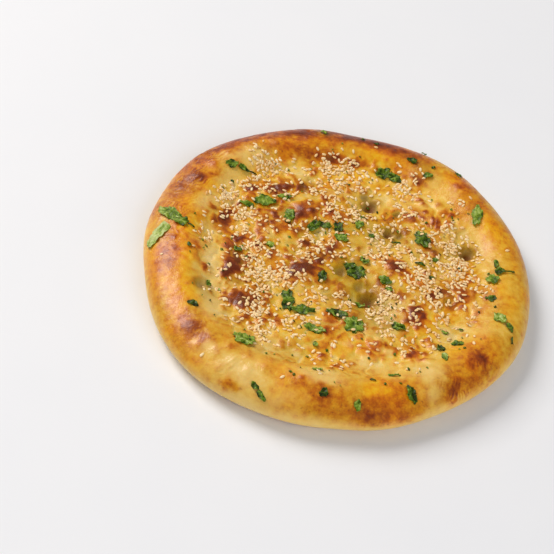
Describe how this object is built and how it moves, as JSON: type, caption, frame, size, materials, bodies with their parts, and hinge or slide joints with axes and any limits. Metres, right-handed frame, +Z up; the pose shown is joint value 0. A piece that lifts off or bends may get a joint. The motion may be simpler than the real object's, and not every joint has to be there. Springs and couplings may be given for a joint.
{
  "type": "naan bread",
  "caption": "Round leavened flatbread lying flat, with a puffy raised rim round a lower, blistered and dimpled middle.",
  "frame": {"origin": "centre of the flat underside, on the surface that the bread lies on", "axes": "+Z up through the bread's thickness, +X and +Y across it; the rim is broadest towards 212 degrees from +X"},
  "size_m": [0.2195, 0.2169, 0.0228],
  "materials": {
    "crust": "baked golden crust with a thin film of melted butter, browned on the blisters",
    "sesame": "hulled toasted seed, satin",
    "coriander": "fresh chopped leaf, lightly waxy"
  },
  "bodies": {
    "root": {"bread": "crust"}
  },
  "joints": []
}
